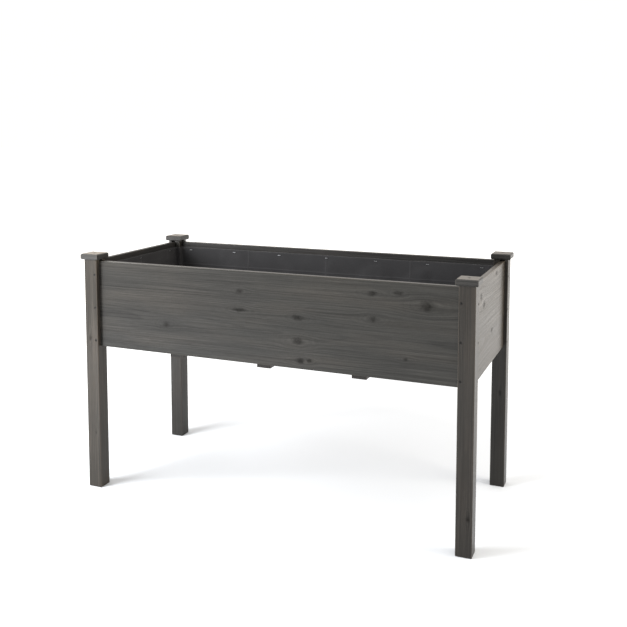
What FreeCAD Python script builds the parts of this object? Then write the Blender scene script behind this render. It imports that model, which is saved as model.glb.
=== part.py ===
import FreeCAD, Part
import os
import Sketcher
from FreeCAD import Rotation, Vector

# A raised planter: four grooved posts carry a rectangular box of wide boards at waist
# height.  The boards slide down into blind grooves in the posts and are screwed through
# the posts' cheeks.  Three shouldered bearers and two cleats carry a slatted floor, a
# fabric lining holds the soil, and a chamfered cap closes the end grain of each post.
# Millimetres.  +X runs along the planter, +Y to its back, +Z up.  The origin is on the
# ground, under the middle of the planter.

doc = FreeCAD.newDocument("raised_planter")

# ---------------------------------------------------------------- driving dimensions
SIZES = [
    ("leg_span_x", 1246, "over the outer faces of the legs, along the planter"),
    ("leg_span_y", 544, "over the outer faces of the legs, front to back"),
    ("leg_height", 742, "ground to the top end of a leg"),
    ("leg_side", 46, "square section of a leg"),
    ("leg_ease", 2, "rounding of a leg's long edges"),
    ("panel_thick", 15, "thickness of the four side boards"),
    ("panel_height", 274, "height of the four side boards"),
    ("panel_drop", 5, "top end of a leg down to the top edge of a side board"),
    ("panel_ease", 1, "rounding of a side board's long edges"),
    ("long_offset", 1.5, "middle of the front or back board out from the middle of its legs"),
    ("end_offset", 4.5, "middle of an end board out from the middle of its legs"),
    ("groove_depth", 15, "depth of the grooves in a leg"),
    ("groove_slack", 0.3, "play behind a board in its groove"),
    ("groove_end_gap", 1, "play between a board's end and the bottom of its groove"),
    ("cap_overhang", 8, "cap beyond the leg on each side"),
    ("cap_thick", 18, "thickness of a cap"),
    ("cap_chamfer", 3, "bevel round a cap's top and bottom"),
    ("bearer_pitch", 296, "between the middles of neighbouring bearers"),
    ("bearer_width", 44, "width of a bearer"),
    ("bearer_thick", 25, "thickness of a bearer between the long boards"),
    ("bearer_lip", 9, "thickness of its shouldered ends, under the long boards"),
    ("bearer_gap", 1, "shoulder of a bearer to the inner face of a long board"),
    ("bearer_ease", 1, "rounding of the edges under a bearer"),
    ("cleat_width", 22, "floor cleat, out from the end board"),
    ("cleat_height", 16, "floor cleat, top to bottom"),
    ("cleat_gap", 2, "end of a cleat to the leg beside it"),
    ("floor_thick", 12, "thickness of the floor boards"),
    ("floor_gap", 5, "drainage gap between two floor boards"),
    ("floor_side_gap", 3, "floor to the long boards and to the legs"),
    ("floor_end_gap", 3, "floor to the end boards and to the legs"),
    ("floor_ease", 1, "rounding of a floor board's top edges"),
    ("liner_thick", 2, "fabric lining with its folds"),
    ("liner_gap", 0.5, "lining to the wood beside it"),
    ("liner_drop", 18, "top edge of the boards down to the lining's rim"),
    ("screw_shank", 4, "diameter of a wood screw's shank"),
    ("screw_head", 7.2, "diameter of its countersunk head"),
    ("screw_tip", 6, "length of its point"),
    ("screw_sink", 0.5, "head below the surface of the wood"),
    ("screw_fit", 0.1, "play round a screw, nail or staple in its hole"),
    ("leg_screw_cover", 7.5, "wood left ahead of the screws through the legs and the side boards"),
    ("leg_screw_edge", 7.5, "those screws in from the inner face of the leg"),
    ("leg_screw_foot", 17, "lowest of them above the bottom edge of the board"),
    ("leg_screw_top", 46, "highest of them below the top edge of the board"),
    ("leg_screw_stagger", 3, "long-board screws up, and end-board screws down, to miss each other"),
    ("cap_screw_length", 45, "screw down through a cap"),
    ("bearer_screw_length", 30, "screws up through a bearer's lips"),
    ("bearer_screw_edge", 10, "those screws in from the side of the bearer"),
    ("cleat_screw_length", 30, "screws through a cleat into the end board"),
    ("cleat_screw_margin", 70, "outer cleat screws in from the end of the cleat"),
    ("nail_shank", 1.8, "diameter of a floor nail"),
    ("nail_head", 4.4, "diameter of its flat head"),
    ("nail_head_thick", 0.8, "thickness of its flat head"),
    ("nail_length", 25, "length of a floor nail under its head"),
    ("nail_edge", 20, "nail in from the edge of its floor board"),
    ("staple_crown", 10, "width of a lining staple"),
    ("staple_leg", 8, "length of a staple's legs"),
    ("staple_wire", 1.2, "width of the staple wire"),
    ("staple_flat", 0.7, "thickness of the staple wire"),
    ("staple_drop", 10, "rim of the lining down to the staples"),
    ("staple_margin", 40, "outermost staples in from the legs"),
    ("long_staples", 7, "number of staples on each long board"),
    ("end_staples", 3, "number of staples on each end board"),
]

# Places that follow from the sizes.
PLACES = [
    ("leg_x", "sizes.leg_span_x / 2 - sizes.leg_side / 2"),
    ("leg_y", "sizes.leg_span_y / 2 - sizes.leg_side / 2"),
    ("leg_in_x", "sizes.leg_span_x / 2 - sizes.leg_side"),
    ("leg_in_y", "sizes.leg_span_y / 2 - sizes.leg_side"),
    ("panel_top", "sizes.leg_height - sizes.panel_drop"),
    ("panel_foot", "places.panel_top - sizes.panel_height"),
    ("long_inset", "sizes.leg_side / 2 - sizes.long_offset - sizes.panel_thick / 2"),
    ("end_inset", "sizes.leg_side / 2 - sizes.end_offset - sizes.panel_thick / 2"),
    ("long_face", "sizes.leg_span_y / 2 - places.long_inset"),
    ("long_back", "places.long_face - sizes.panel_thick"),
    ("end_face", "sizes.leg_span_x / 2 - places.end_inset"),
    ("end_back", "places.end_face - sizes.panel_thick"),
    ("tongue", "sizes.groove_depth - sizes.groove_end_gap"),
    ("long_half", "places.leg_in_x + places.tongue"),
    ("end_half", "places.leg_in_y + places.tongue"),
    ("bearer_foot", "places.panel_foot - sizes.bearer_lip"),
    ("bearer_top", "places.bearer_foot + sizes.bearer_thick"),
    ("shoulder", "places.long_back - sizes.bearer_gap"),
    ("cleat_half", "places.leg_in_y - sizes.cleat_gap"),
    ("floor_top", "places.bearer_top + sizes.floor_thick"),
    ("floor_half_x", "places.end_back - sizes.floor_end_gap"),
    ("floor_half_y", "places.long_back - sizes.floor_side_gap"),
    ("liner_top", "places.panel_top - sizes.liner_drop"),
    ("staple_z", "places.liner_top - sizes.staple_drop"),
    ("leg_screw_length", "sizes.leg_side - sizes.screw_sink - sizes.leg_screw_cover"),
    ("screw_low", "places.panel_foot + sizes.leg_screw_foot"),
    ("screw_high", "places.panel_top - sizes.leg_screw_top"),
    ("screw_mid", "(places.screw_low + places.screw_high) / 2"),
    ("screw_hole", "sizes.screw_shank + 2 * sizes.screw_fit"),
    ("screw_mouth", "sizes.screw_head + 2 * sizes.screw_sink + 2 * sizes.screw_fit"),
    ("staple_run_x", "2 * (places.leg_in_x - sizes.staple_margin)"),
    ("staple_run_y", "2 * (places.leg_in_y - sizes.staple_margin)"),
]

FLOOR_BOARDS = 5


def make_sheets():
    """One sheet of driving sizes, and one of the places worked out from them."""
    sizes = doc.addObject("Spreadsheet::Sheet", "sizes")
    for row, (alias, number, note) in enumerate(SIZES, start=1):
        sizes.set("A%d" % row, str(number))
        sizes.setAlias("A%d" % row, alias)
        sizes.set("B%d" % row, note)
    doc.recompute()
    places = doc.addObject("Spreadsheet::Sheet", "places")
    for row, (alias, formula) in enumerate(PLACES, start=1):
        places.set("A%d" % row, "=" + formula.replace("places.", ""))
        places.setAlias("A%d" % row, alias)
        doc.recompute()
    return sizes, places


sizes, places = make_sheets()
sub_parts = []


# ---------------------------------------------------------------- helpers
def worth(formula):
    """The number a formula of sheet cells stands for."""
    return float(sizes.evalExpression(formula))


def sub_part(obj, label):
    obj.Label = label
    sub_parts.append(obj)
    return obj


def put(obj, x="0", y="0", z="0", turn=0):
    """Places a sub-part: formulas for where, and a turn about +Z in degrees."""
    obj.Placement = FreeCAD.Placement(Vector(), Rotation(Vector(0, 0, 1), turn))
    for axis, formula in (("x", x), ("y", y), ("z", z)):
        obj.setExpression("Placement.Base." + axis, formula)


def new_sketch(body, name, role, offset="0"):
    """A sketch on one of the body's origin planes, moved along the plane's normal."""
    plane = next(p for p in body.Origin.OriginFeatures if p.Role == role)
    sketch = body.newObject("Sketcher::SketchObject", name)
    sketch.AttachmentSupport = [(plane, "")]
    sketch.MapMode = "FlatFace"
    sketch.setExpression("AttachmentOffset.Base.z", offset)
    return sketch


def pin_down(sketch, line, end, x, y):
    """Fixes a point of the sketch at two formulas, measured from the sketch's origin."""
    for kind, formula in (("DistanceX", x), ("DistanceY", y)):
        index = sketch.addConstraint(Sketcher.Constraint(kind, -1, 1, line, end, worth(formula)))
        sketch.setExpression("Constraints[%d]" % index, formula)


def draw_outline(sketch, points):
    """A closed outline of straight lines through points given as pairs of formulas."""
    corners = [Vector(worth(x), worth(y), 0) for x, y in points]
    lines = []
    for start, end in zip(corners, corners[1:] + corners[:1]):
        lines.append(sketch.addGeometry(Part.LineSegment(start, end), False))
    for this, following in zip(lines, lines[1:] + lines[:1]):
        sketch.addConstraint(Sketcher.Constraint("Coincident", this, 2, following, 1))
    for line, (x, y) in zip(lines, points):
        pin_down(sketch, line, 1, x, y)


def draw_box(sketch, low_x, high_x, low_y, high_y):
    draw_outline(sketch, [(low_x, low_y), (high_x, low_y), (high_x, high_y), (low_x, high_y)])


def draw_circles(sketch, centres, diameter):
    for x, y in centres:
        middle = Vector(worth(x), worth(y), 0)
        ring = sketch.addGeometry(Part.Circle(middle, Vector(0, 0, 1), worth(diameter) / 2), False)
        pin_down(sketch, ring, 3, x, y)
        index = sketch.addConstraint(Sketcher.Constraint("Diameter", ring, worth(diameter)))
        sketch.setExpression("Constraints[%d]" % index, diameter)


def add_pad(body, sketch, length, centred=False):
    pad = body.newObject("PartDesign::Pad", "Pad")
    pad.Profile = sketch
    pad.setExpression("Length", length)
    pad.Midplane = centred
    doc.recompute()
    return pad


def must_cut(body, before, feature):
    """Stops if a feature that should remove wood has removed none."""
    doc.recompute()
    if body.Shape.Volume > before - 1e-3:
        raise RuntimeError("%s cuts nothing in %s" % (feature.Name, body.Label))
    return feature


def add_pocket(body, sketch, length, upward=False, both_ways=False):
    """A pocket: it goes against the sketch's normal, or along it where upward is set."""
    before = body.Shape.Volume
    pocket = body.newObject("PartDesign::Pocket", "Pocket")
    pocket.Profile = sketch
    pocket.setExpression("Length", length)
    pocket.Reversed = upward
    pocket.Midplane = both_ways
    return must_cut(body, before, pocket)


def add_holes(body, sketch, depth, mouth=None, diameter="places.screw_hole", upward=False):
    """Round holes at a sketch's circles, countersunk where mouth gives a diameter."""
    before = body.Shape.Volume
    doc.recompute()
    hole = body.newObject("PartDesign::Hole", "Hole")
    hole.Profile = sketch
    doc.recompute()
    hole.ThreadType = "None"
    hole.DepthType = "Dimension"
    hole.DrillPoint = "Flat"
    hole.Reversed = upward
    hole.setExpression("Diameter", diameter)
    hole.setExpression("Depth", depth)
    if mouth:
        hole.HoleCutType = "Countersink"
        hole.HoleCutCountersinkAngle = 90
        hole.setExpression("HoleCutDiameter", mouth)
    return must_cut(body, before, hole)


def straight_edges(shape, direction, test=lambda middle: True):
    """Names of the straight edges that run along a direction and pass a test."""
    names = []
    for number, edge in enumerate(shape.Edges, start=1):
        if isinstance(edge.Curve, Part.Line) and abs(edge.Curve.Direction.dot(direction)) > 0.999:
            if test(edge.CenterOfMass):
                names.append("Edge%d" % number)
    return names


def add_fillet(body, base, edges, radius):
    fillet = body.newObject("PartDesign::Fillet", "Fillet")
    fillet.Base = (base, edges)
    fillet.setExpression("Radius", radius)
    doc.recompute()
    return fillet


def add_chamfer(body, base, edges, size):
    chamfer = body.newObject("PartDesign::Chamfer", "Chamfer")
    chamfer.Base = (base, edges)
    chamfer.setExpression("Size", size)
    doc.recompute()
    return chamfer


X_WAY, Y_WAY, Z_WAY = Vector(1, 0, 0), Vector(0, 1, 0), Vector(0, 0, 1)


# ---------------------------------------------------------------- legs
# A leg is drawn about its own axis as the front leg of its side: -Y faces out, and
# out_x says which way along X faces out.  The back legs are the same two turned round.
LEGS = [
    ("front_right", 1, -1),
    ("front_left", -1, -1),
    ("back_left", -1, 1),
    ("back_right", 1, 1),
]


def make_leg(corner, side_x, side_y):
    label = "leg_" + corner
    body = sub_part(doc.addObject("PartDesign::Body", label), label)
    out_x = side_x if side_y < 0 else -side_x

    square = new_sketch(body, label + "_section", "XY_Plane")
    draw_box(square, "-sizes.leg_side / 2", "sizes.leg_side / 2",
             "-sizes.leg_side / 2", "sizes.leg_side / 2")
    post = add_pad(body, square, "sizes.leg_height")
    eased = straight_edges(post.Shape, Z_WAY)
    eased += straight_edges(post.Shape, X_WAY, lambda middle: middle.z < 1)
    eased += straight_edges(post.Shape, Y_WAY, lambda middle: middle.z < 1)
    add_fillet(body, post, eased, "sizes.leg_ease")

    grooves = new_sketch(body, label + "_grooves", "XY_Plane", "places.panel_foot")
    draw_box(grooves,
             "%d * sizes.leg_side" % -out_x,
             "%d * (sizes.leg_side / 2 - sizes.groove_depth)" % -out_x,
             "-sizes.leg_side / 2 + places.long_inset",
             "-sizes.leg_side / 2 + places.long_inset + sizes.panel_thick + sizes.groove_slack")
    draw_box(grooves,
             "%d * (sizes.leg_side / 2 - places.end_inset)" % out_x,
             "%d * (sizes.leg_side / 2 - places.end_inset - sizes.panel_thick - sizes.groove_slack)"
             % out_x,
             "sizes.leg_side / 2 - sizes.groove_depth",
             "sizes.leg_side")
    add_pocket(body, grooves, "sizes.leg_height", upward=True)

    # Three screws reach the long board through the front cheek, and three the end board
    # through the outer cheek, each a little higher or lower than its neighbour.
    depth = "places.leg_screw_length + sizes.screw_sink + 1"
    across = "%d * (sizes.leg_side / 2 - sizes.leg_screw_edge)" % -out_x
    front = new_sketch(body, label + "_front_holes", "XZ_Plane", "sizes.leg_side / 2")
    draw_circles(front, [(across, z) for z in leg_screw_heights(1)], "places.screw_hole")
    add_holes(body, front, depth, "places.screw_mouth")

    outer = new_sketch(body, label + "_outer_holes", "YZ_Plane", "%d * sizes.leg_side / 2" % out_x)
    inner_edge = "sizes.leg_side / 2 - sizes.leg_screw_edge"
    draw_circles(outer, [(inner_edge, z) for z in leg_screw_heights(-1)], "places.screw_hole")
    add_holes(body, outer, depth, "places.screw_mouth", upward=out_x < 0)

    top = new_sketch(body, label + "_top_hole", "XY_Plane", "sizes.leg_height")
    draw_circles(top, [("0", "0")], "places.screw_hole")
    add_holes(body, top, "sizes.cap_screw_length - sizes.cap_thick + 1")

    put(body, "%d * places.leg_x" % side_x, "%d * places.leg_y" % side_y,
        turn=180 if side_y > 0 else 0)


def leg_screw_heights(way):
    """Heights of the three screws of one board end, staggered up (1) or down (-1)."""
    return ["places.%s + %d * sizes.leg_screw_stagger" % (height, way)
            for height in ("screw_low", "screw_mid", "screw_high")]


# ---------------------------------------------------------------- caps
def make_cap(corner, side_x, side_y):
    label = "cap_" + corner
    body = sub_part(doc.addObject("PartDesign::Body", label), label)
    half = "(sizes.leg_side / 2 + sizes.cap_overhang)"
    square = new_sketch(body, label + "_outline", "XY_Plane")
    draw_box(square, "-" + half, half, "-" + half, half)
    slab = add_pad(body, square, "sizes.cap_thick")
    rims = straight_edges(slab.Shape, X_WAY) + straight_edges(slab.Shape, Y_WAY)
    add_chamfer(body, slab, rims, "sizes.cap_chamfer")
    hole = new_sketch(body, label + "_hole", "XY_Plane", "sizes.cap_thick")
    draw_circles(hole, [("0", "0")], "places.screw_hole")
    add_holes(body, hole, "sizes.cap_thick + 1", "places.screw_mouth")
    put(body, "%d * places.leg_x" % side_x, "%d * places.leg_y" % side_y, "sizes.leg_height")


# ---------------------------------------------------------------- side boards
def cut_staple_slots(body, name, role, offset, reach, run, count, both_ways=False, upward=False):
    """Slots for the two legs of each staple in a row, cut against the plane's normal."""
    slots = new_sketch(body, name, role, offset)
    reach_up = "(sizes.staple_wire / 2 + sizes.screw_fit)"
    for way in (-1, 1):
        middle = "(-%s / 2 + %d * (sizes.staple_crown - sizes.staple_flat) / 2)" % (run, way)
        half = "(sizes.staple_flat / 2 + sizes.screw_fit)"
        draw_box(slots, middle + " - " + half, middle + " + " + half,
                 "places.staple_z - " + reach_up, "places.staple_z + " + reach_up)
    pocket = add_pocket(body, slots, reach, upward=upward, both_ways=both_ways)
    before = body.Shape.Volume
    row = body.newObject("PartDesign::LinearPattern", "LinearPattern")
    row.Originals = [pocket]
    row.Direction = (slots, ["H_Axis"])
    row.setExpression("Length", run)
    row.setExpression("Occurrences", count)
    body.Tip = row
    must_cut(body, before, row)


def make_long_panel(label, turn):
    """Front board, drawn in its place; the back board is the same one turned round."""
    body = sub_part(doc.addObject("PartDesign::Body", label), label)
    face = new_sketch(body, label + "_face", "XZ_Plane", "places.long_face")
    draw_box(face, "-places.long_half", "places.long_half", "places.panel_foot", "places.panel_top")
    board = body.newObject("PartDesign::Pad", "Pad")
    board.Profile = face
    board.Reversed = True
    board.setExpression("Length", "sizes.panel_thick")
    doc.recompute()
    add_fillet(body, board, straight_edges(board.Shape, X_WAY), "sizes.panel_ease")

    end_holes = new_sketch(body, label + "_end_holes", "XZ_Plane", "places.long_face")
    ends = ["%d * (places.leg_in_x + sizes.leg_screw_edge)" % way for way in (-1, 1)]
    draw_circles(end_holes, [(x, z) for x in ends for z in leg_screw_heights(1)], "places.screw_hole")
    add_holes(body, end_holes, "sizes.panel_thick + 1")

    foot_holes = new_sketch(body, label + "_foot_holes", "XY_Plane", "places.panel_foot")
    across = "-(places.long_face - sizes.panel_thick / 2)"
    draw_circles(foot_holes, [(x, across) for x in bearer_screw_lines()], "places.screw_hole")
    add_holes(body, foot_holes, "sizes.bearer_screw_length + sizes.screw_sink + 1 - sizes.bearer_lip",
              upward=True)

    cut_staple_slots(body, label + "_slots", "XZ_Plane", "places.long_back",
                     "sizes.staple_leg - sizes.liner_thick - sizes.liner_gap + 0.5",
                     "places.staple_run_x", "sizes.long_staples", upward=True)
    put(body, turn=turn)


def make_end_panel(label, turn):
    """Right-hand board, drawn in its place; the left-hand one is it turned round."""
    body = sub_part(doc.addObject("PartDesign::Body", label), label)
    face = new_sketch(body, label + "_face", "YZ_Plane", "places.end_back")
    draw_box(face, "-places.end_half", "places.end_half", "places.panel_foot", "places.panel_top")
    board = add_pad(body, face, "sizes.panel_thick")
    add_fillet(body, board, straight_edges(board.Shape, Y_WAY), "sizes.panel_ease")

    end_holes = new_sketch(body, label + "_end_holes", "YZ_Plane", "places.end_face")
    ends = ["%d * (places.leg_in_y + sizes.leg_screw_edge)" % way for way in (-1, 1)]
    draw_circles(end_holes, [(y, z) for y in ends for z in leg_screw_heights(-1)], "places.screw_hole")
    add_holes(body, end_holes, "sizes.panel_thick + 1")

    cleat_holes = new_sketch(body, label + "_cleat_holes", "YZ_Plane", "places.end_back")
    draw_circles(cleat_holes, cleat_screw_points(), "places.screw_hole")
    add_holes(body, cleat_holes,
              "sizes.cleat_screw_length + sizes.screw_sink + 1 - sizes.cleat_width", upward=True)

    cut_staple_slots(body, label + "_slots", "YZ_Plane", "places.end_back",
                     "sizes.staple_leg - sizes.liner_thick - sizes.liner_gap + 0.5",
                     "places.staple_run_y", "sizes.end_staples", upward=True)
    put(body, turn=turn)


# ---------------------------------------------------------------- bearers and cleats
BEARERS = [("left", -1), ("middle", 0), ("right", 1)]


def bearer_line(place):
    """Middle of a bearer along X."""
    return "%d * sizes.bearer_pitch" % place


def bearer_screw_lines():
    """The two lines of screws along each of the three bearers, as places along X."""
    edge = "(sizes.bearer_width / 2 - sizes.bearer_screw_edge)"
    return ["%s + %d * %s" % (bearer_line(place), way, edge)
            for _, place in BEARERS for way in (-1, 1)]


def make_bearer(side, place):
    label = "bearer_" + side
    body = sub_part(doc.addObject("PartDesign::Body", label), label)
    profile = new_sketch(body, label + "_profile", "YZ_Plane")
    half = [("places.long_face", "places.bearer_foot"), ("places.long_face", "places.panel_foot"),
            ("places.shoulder", "places.panel_foot"), ("places.shoulder", "places.bearer_top")]
    mirrored = [("-" + y, z) for y, z in reversed(half)]
    draw_outline(profile, half + mirrored)
    batten = add_pad(body, profile, "sizes.bearer_width", centred=True)
    foot = worth("places.bearer_foot")
    under = straight_edges(batten.Shape, Y_WAY, lambda middle: middle.z < foot + 1)
    add_fillet(body, batten, under, "sizes.bearer_ease")

    holes = new_sketch(body, label + "_screw_holes", "XY_Plane", "places.bearer_foot")
    edge = "(sizes.bearer_width / 2 - sizes.bearer_screw_edge)"
    lip = "(places.long_face - sizes.panel_thick / 2)"
    spots = [("%d * %s" % (a, edge), "%d * %s" % (b, lip)) for a in (-1, 1) for b in (-1, 1)]
    draw_circles(holes, spots, "places.screw_hole")
    add_holes(body, holes, "sizes.bearer_lip + 1", "places.screw_mouth", upward=True)

    nails = new_sketch(body, label + "_nail_holes", "XY_Plane", "places.bearer_top")
    nail_hole = "sizes.nail_shank + 2 * sizes.screw_fit"
    draw_circles(nails, [("0", y) for y in nail_lines()], nail_hole)
    add_holes(body, nails, "sizes.nail_length - sizes.floor_thick + 1", diameter=nail_hole)
    put(body, bearer_line(place))


def cleat_screw_points():
    """Middles of the three screws through a cleat, as places on the YZ plane."""
    height = "places.bearer_top - sizes.cleat_height / 2"
    outer = "(places.cleat_half - sizes.cleat_screw_margin)"
    return [("-" + outer, height), ("0", height), (outer, height)]


def make_cleat(label, turn):
    """Right-hand cleat, drawn in its place; the left-hand one is it turned round."""
    body = sub_part(doc.addObject("PartDesign::Body", label), label)
    end = new_sketch(body, label + "_section", "XZ_Plane")
    draw_box(end, "places.end_back - sizes.cleat_width", "places.end_back",
             "places.bearer_top - sizes.cleat_height", "places.bearer_top")
    add_pad(body, end, "2 * places.cleat_half", centred=True)
    holes = new_sketch(body, label + "_holes", "YZ_Plane", "places.end_back - sizes.cleat_width")
    draw_circles(holes, cleat_screw_points(), "places.screw_hole")
    add_holes(body, holes, "sizes.cleat_width + 1", "places.screw_mouth", upward=True)
    put(body, turn=turn)


# ---------------------------------------------------------------- floor
FLOOR_WIDTH = ("((2 * places.floor_half_y - %d * sizes.floor_gap) / %d)"
               % (FLOOR_BOARDS - 1, FLOOR_BOARDS))


def floor_low(number):
    """Front edge of a floor board, counted from 0 at the front."""
    return "(-places.floor_half_y + %d * (%s + sizes.floor_gap))" % (number, FLOOR_WIDTH)


def nail_lines(boards=range(FLOOR_BOARDS)):
    """The two lines of nails along each floor board, as places along Y."""
    lines = []
    for number in boards:
        lines.append("%s + sizes.nail_edge" % floor_low(number))
        lines.append("%s + %s - sizes.nail_edge" % (floor_low(number), FLOOR_WIDTH))
    return lines


def make_floor_board(number):
    """A floor board; the outer two are notched at their ends to clear the legs."""
    label = "floor_board_%d" % (number + 1)
    body = sub_part(doc.addObject("PartDesign::Body", label), label)
    low, high = floor_low(number), "%s + %s" % (floor_low(number), FLOOR_WIDTH)
    ends = "places.floor_half_x"
    cheek_x = "(places.leg_in_x - sizes.floor_end_gap)"
    cheek_y = "(places.leg_in_y - sizes.floor_side_gap)"
    if number == 0:
        points = [("-" + cheek_x, low), (cheek_x, low), (cheek_x, "-" + cheek_y), (ends, "-" + cheek_y),
                  (ends, high), ("-" + ends, high), ("-" + ends, "-" + cheek_y),
                  ("-" + cheek_x, "-" + cheek_y)]
    elif number == FLOOR_BOARDS - 1:
        points = [("-" + ends, low), (ends, low), (ends, cheek_y), (cheek_x, cheek_y), (cheek_x, high),
                  ("-" + cheek_x, high), ("-" + cheek_x, cheek_y), ("-" + ends, cheek_y)]
    else:
        points = [("-" + ends, low), (ends, low), (ends, high), ("-" + ends, high)]
    plan = new_sketch(body, label + "_plan", "XY_Plane", "places.bearer_top")
    draw_outline(plan, points)
    board = add_pad(body, plan, "sizes.floor_thick")
    top = worth("places.floor_top")
    upper = straight_edges(board.Shape, X_WAY, lambda middle: middle.z > top - 1)
    add_fillet(body, board, upper, "sizes.floor_ease")

    nails = new_sketch(body, label + "_nail_holes", "XY_Plane", "places.floor_top")
    nail_hole = "sizes.nail_shank + 2 * sizes.screw_fit"
    spots = [(bearer_line(place), y) for _, place in BEARERS for y in nail_lines([number])]
    draw_circles(nails, spots, nail_hole)
    add_holes(body, nails, "sizes.floor_thick + 1", diameter=nail_hole)
    seats = new_sketch(body, label + "_nail_seats", "XY_Plane", "places.floor_top")
    seat = "sizes.nail_head + 2 * sizes.screw_fit"
    draw_circles(seats, spots, seat)
    add_holes(body, seats, "sizes.nail_head_thick", diameter=seat)
    put(body)


# ---------------------------------------------------------------- lining
def liner_outline(inset):
    """The inside of the box with its corners stepped in round the legs, less an inset."""
    far_x, far_y = "(places.end_back - %s)" % inset, "(places.long_back - %s)" % inset
    near_x, near_y = "(places.leg_in_x - %s)" % inset, "(places.leg_in_y - %s)" % inset
    quarter = [(far_x, near_y), (near_x, near_y), (near_x, far_y)]
    points = quarter[:]
    points += [("-" + x, y) for x, y in reversed(quarter)]
    points += [("-" + x, "-" + y) for x, y in quarter]
    points += [(x, "-" + y) for x, y in reversed(quarter)]
    return points


def make_liner():
    label = "liner"
    body = sub_part(doc.addObject("PartDesign::Body", label), label)
    outside = new_sketch(body, "liner_outside", "XY_Plane", "places.floor_top")
    draw_outline(outside, liner_outline("sizes.liner_gap"))
    add_pad(body, outside, "places.liner_top - places.floor_top")
    inside = new_sketch(body, "liner_inside", "XY_Plane", "places.floor_top + sizes.liner_thick")
    draw_outline(inside, liner_outline("(sizes.liner_gap + sizes.liner_thick)"))
    add_pocket(body, inside, "sizes.leg_height", upward=True)
    cut_staple_slots(body, "liner_long_slots", "XZ_Plane", "0", "sizes.leg_span_y",
                     "places.staple_run_x", "sizes.long_staples", both_ways=True)
    cut_staple_slots(body, "liner_end_slots", "YZ_Plane", "0", "sizes.leg_span_x",
                     "places.staple_run_y", "sizes.end_staples", both_ways=True)
    put(body)


# ---------------------------------------------------------------- fasteners
# Loose solids in one group have no base feature to share, so they are made with Part's
# own functions from the numbers in the sheets.
def screw_at(point, direction, length):
    """A countersunk wood screw: the middle of its head's top, and the way it points."""
    head, shank = sizes.screw_head / 2, sizes.screw_shank / 2
    profile = Part.makePolygon([
        Vector(0, 0, 0), Vector(head, 0, 0), Vector(shank, 0, shank - head),
        Vector(shank, 0, sizes.screw_tip - length), Vector(0, 0, -length), Vector(0, 0, 0)])
    screw = Part.Face(profile).revolve(Vector(), Z_WAY, 360)
    arm, width, depth = head * 1.15, sizes.screw_head / 9, sizes.screw_head / 5
    for turn in (0, 90):
        slot = Part.makeBox(arm, width, 2 * depth, Vector(-arm / 2, -width / 2, -depth))
        slot.rotate(Vector(), Z_WAY, turn + 30)
        screw = screw.cut(slot)
    screw.Placement = FreeCAD.Placement(point, Rotation(Vector(0, 0, -1), direction))
    return screw


def nail_at(point):
    """A flat-headed nail driven straight down: the middle of its head's top."""
    head = Part.makeCylinder(sizes.nail_head / 2, sizes.nail_head_thick, point, -Z_WAY)
    neck = point - Z_WAY * sizes.nail_head_thick
    shank = Part.makeCylinder(sizes.nail_shank / 2, sizes.nail_length - sizes.nail_head_thick - 2,
                              neck, -Z_WAY)
    tip_top = neck - Z_WAY * (sizes.nail_length - sizes.nail_head_thick - 2)
    tip = Part.makeCone(sizes.nail_shank / 2, 0, 2, tip_top, -Z_WAY)
    return head.fuse([shank, tip]).removeSplitter()


def staple_at(point, turn):
    """A staple whose crown lies on the lining at a point; its legs point along +X, turned."""
    crown, wire, flat = sizes.staple_crown, sizes.staple_wire, sizes.staple_flat
    bar = Part.makeBox(flat, crown, wire, Vector(-flat, -crown / 2, -wire / 2))
    prongs = [Part.makeBox(sizes.staple_leg, flat, wire, Vector(0, y, -wire / 2))
              for y in (-crown / 2, crown / 2 - flat)]
    staple = bar.fuse(prongs).removeSplitter()
    staple.Placement = FreeCAD.Placement(point, Rotation(Z_WAY, turn))
    return staple


def make_group(label, solids):
    group = sub_part(doc.addObject("Part::Feature", label), label)
    group.Shape = Part.makeCompound(solids)
    group.Placement = FreeCAD.Placement()


def make_leg_screws(corner, side_x, side_y):
    length, sink = places.leg_screw_length, sizes.screw_sink
    near_x = side_x * (places.leg_in_x + sizes.leg_screw_edge)
    near_y = side_y * (places.leg_in_y + sizes.leg_screw_edge)
    face_x = side_x * (sizes.leg_span_x / 2 - sink)
    face_y = side_y * (sizes.leg_span_y / 2 - sink)
    screws = [screw_at(Vector(near_x, face_y, worth(z)), Y_WAY * -side_y, length)
              for z in leg_screw_heights(1)]
    screws += [screw_at(Vector(face_x, near_y, worth(z)), X_WAY * -side_x, length)
               for z in leg_screw_heights(-1)]
    make_group("leg_screws_" + corner, screws)


def make_cap_screws():
    height = sizes.leg_height + sizes.cap_thick - sizes.screw_sink
    spots = [Vector(x * places.leg_x, y * places.leg_y, height) for _, x, y in LEGS]
    make_group("cap_screws", [screw_at(spot, -Z_WAY, sizes.cap_screw_length) for spot in spots])


def make_bearer_screws():
    lip = places.long_face - sizes.panel_thick / 2
    height = places.bearer_foot + sizes.screw_sink
    spots = [Vector(worth(x), y, height) for x in bearer_screw_lines() for y in (-lip, lip)]
    make_group("bearer_screws", [screw_at(spot, Z_WAY, sizes.bearer_screw_length) for spot in spots])


def make_cleat_screws():
    face = places.end_back - sizes.cleat_width + sizes.screw_sink
    screws = []
    for way in (-1, 1):
        for y, z in cleat_screw_points():
            spot = Vector(way * face, worth(y), worth(z))
            screws.append(screw_at(spot, X_WAY * way, sizes.cleat_screw_length))
    make_group("cleat_screws", screws)


def make_floor_nails():
    spots = [Vector(worth(bearer_line(place)), worth(y), places.floor_top)
             for _, place in BEARERS for y in nail_lines()]
    make_group("floor_nails", [nail_at(spot) for spot in spots])


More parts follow.
